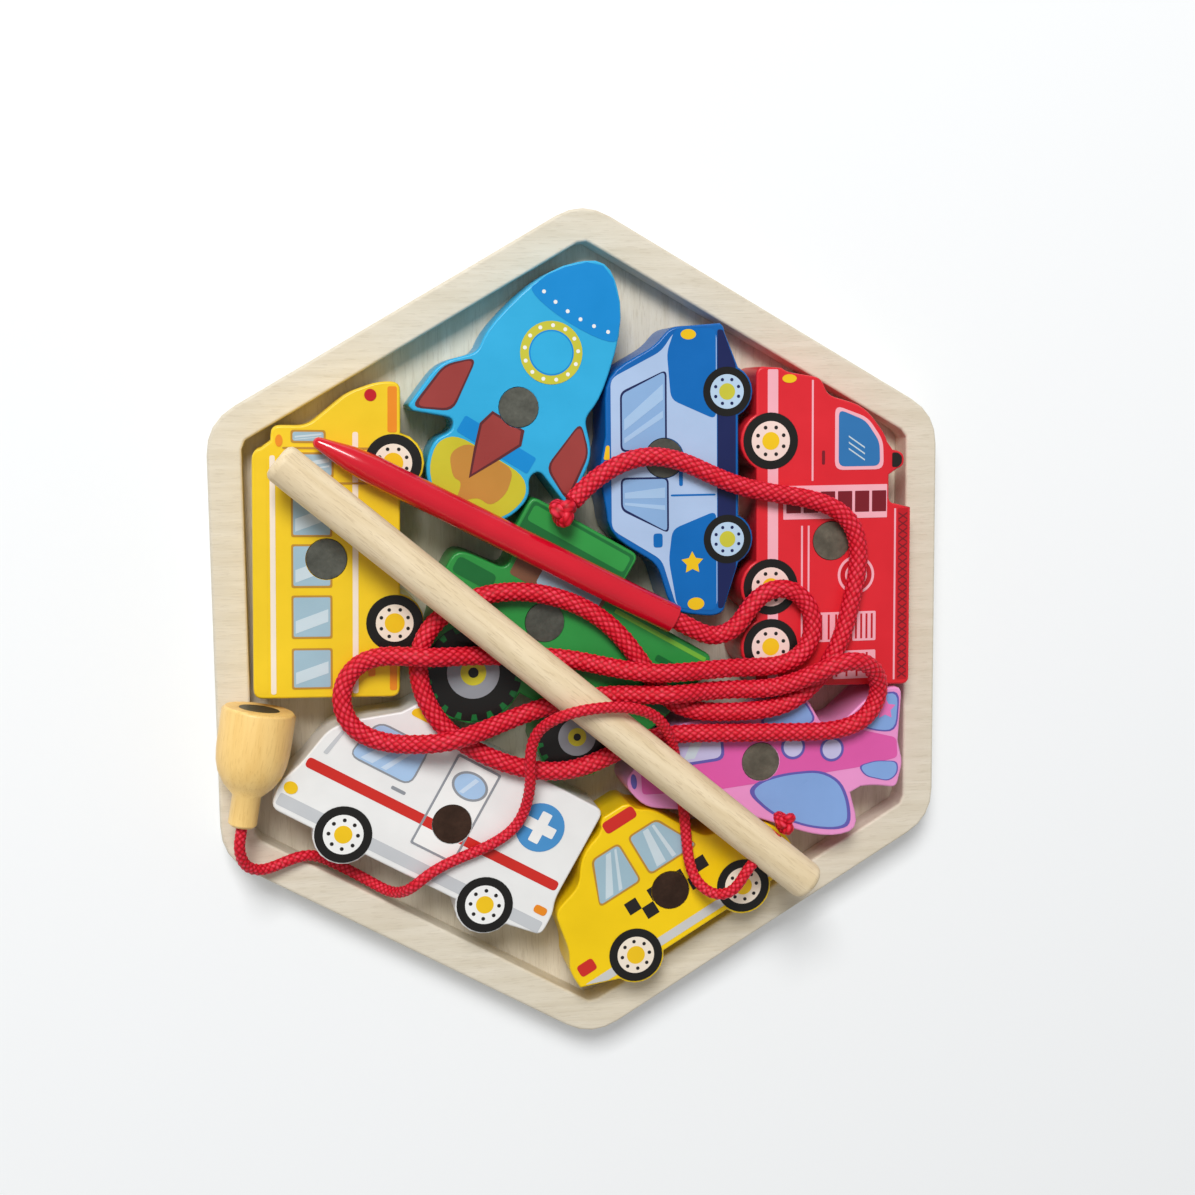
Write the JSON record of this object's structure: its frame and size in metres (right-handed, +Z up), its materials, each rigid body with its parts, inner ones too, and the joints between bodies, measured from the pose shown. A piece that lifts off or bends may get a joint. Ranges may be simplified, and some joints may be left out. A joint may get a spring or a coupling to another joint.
{
  "type": "magnetic fishing puzzle",
  "caption": "Six-sided wooden tray puzzle of chunky painted vehicles with magnets in their tops, a fishing rod with a magnetic lure on a line, and a lacing needle on a braided cord.",
  "frame": {"origin": "middle of the tray's underside", "axes": "+Z up out of the tray, +Y towards the corner of the tray that is at the top of the picture, +X to the right of it"},
  "size_m": [0.1913, 0.2166, 0.0411],
  "materials": {
    "birch": "sanded, clear matt",
    "lure_wood": "clear satin",
    "magnet_steel": "dull",
    "red_braid": "round braid",
    "red_plastic": "gloss",
    "yellow_paint": "painted, satin",
    "sky_blue_paint": "painted, satin",
    "blue_paint": "painted, satin",
    "red_paint": "painted, satin",
    "pink_paint": "painted, satin",
    "taxi_yellow_paint": "painted, satin",
    "white_paint": "painted, satin",
    "green_paint": "painted, satin"
  },
  "bodies": {
    "tray": {"tray_base": "birch", "tray_frame": "birch"},
    "fishing_rod": {"rod_stick": "birch", "line_knot": "red_braid", "fishing_line": "red_braid", "lure": "lure_wood", "lure_magnet": "magnet_steel"},
    "lacing_set": {"lacing_needle": "red_plastic", "lacing_cord": "red_braid", "cord_end_knot": "red_braid"},
    "school_bus_block": {"school_bus": "yellow_paint", "school_bus_magnet": "magnet_steel"},
    "rocket_block": {"rocket": "sky_blue_paint", "rocket_magnet": "magnet_steel"},
    "police_car_block": {"police_car": "blue_paint", "police_car_magnet": "magnet_steel"},
    "fire_truck_block": {"fire_truck": "red_paint", "fire_truck_magnet": "magnet_steel"},
    "airplane_block": {"airplane": "pink_paint", "airplane_magnet": "magnet_steel"},
    "taxi_block": {"taxi": "taxi_yellow_paint", "taxi_magnet": "magnet_steel"},
    "ambulance_block": {"ambulance": "white_paint", "ambulance_magnet": "magnet_steel"},
    "tractor_block": {"tractor": "green_paint", "tractor_magnet": "magnet_steel"}
  },
  "joints": [
    {"name": "rod_lift", "type": "slide", "parent": "tray", "child": "fishing_rod", "axis": [0, 0, 1], "range_m": [0, 0.12]},
    {"name": "lacing_lift", "type": "slide", "parent": "tray", "child": "lacing_set", "axis": [0, 0, 1], "range_m": [0, 0.09]},
    {"name": "school_bus_lift", "type": "slide", "parent": "tray", "child": "school_bus_block", "axis": [0, 0, 1], "range_m": [0, 0.06]},
    {"name": "rocket_lift", "type": "slide", "parent": "tray", "child": "rocket_block", "axis": [0, 0, 1], "range_m": [0, 0.06]},
    {"name": "police_car_lift", "type": "slide", "parent": "tray", "child": "police_car_block", "axis": [0, 0, 1], "range_m": [0, 0.06]},
    {"name": "fire_truck_lift", "type": "slide", "parent": "tray", "child": "fire_truck_block", "axis": [0, 0, 1], "range_m": [0, 0.06]},
    {"name": "airplane_lift", "type": "slide", "parent": "tray", "child": "airplane_block", "axis": [0, 0, 1], "range_m": [0, 0.06]},
    {"name": "taxi_lift", "type": "slide", "parent": "tray", "child": "taxi_block", "axis": [0, 0, 1], "range_m": [0, 0.06]},
    {"name": "ambulance_lift", "type": "slide", "parent": "tray", "child": "ambulance_block", "axis": [0, 0, 1], "range_m": [0, 0.06]},
    {"name": "tractor_lift", "type": "slide", "parent": "tray", "child": "tractor_block", "axis": [0, 0, 1], "range_m": [0, 0.06]}
  ],
  "couplings": [
    {"joint": "lacing_lift", "follows": "rod_lift", "ratio": 0.75},
    {"joint": "school_bus_lift", "follows": "rod_lift", "ratio": 0.5},
    {"joint": "rocket_lift", "follows": "rod_lift", "ratio": 0.5},
    {"joint": "police_car_lift", "follows": "rod_lift", "ratio": 0.5},
    {"joint": "fire_truck_lift", "follows": "rod_lift", "ratio": 0.5},
    {"joint": "airplane_lift", "follows": "rod_lift", "ratio": 0.5},
    {"joint": "taxi_lift", "follows": "rod_lift", "ratio": 0.5},
    {"joint": "ambulance_lift", "follows": "rod_lift", "ratio": 0.5},
    {"joint": "tractor_lift", "follows": "rod_lift", "ratio": 0.5}
  ]
}
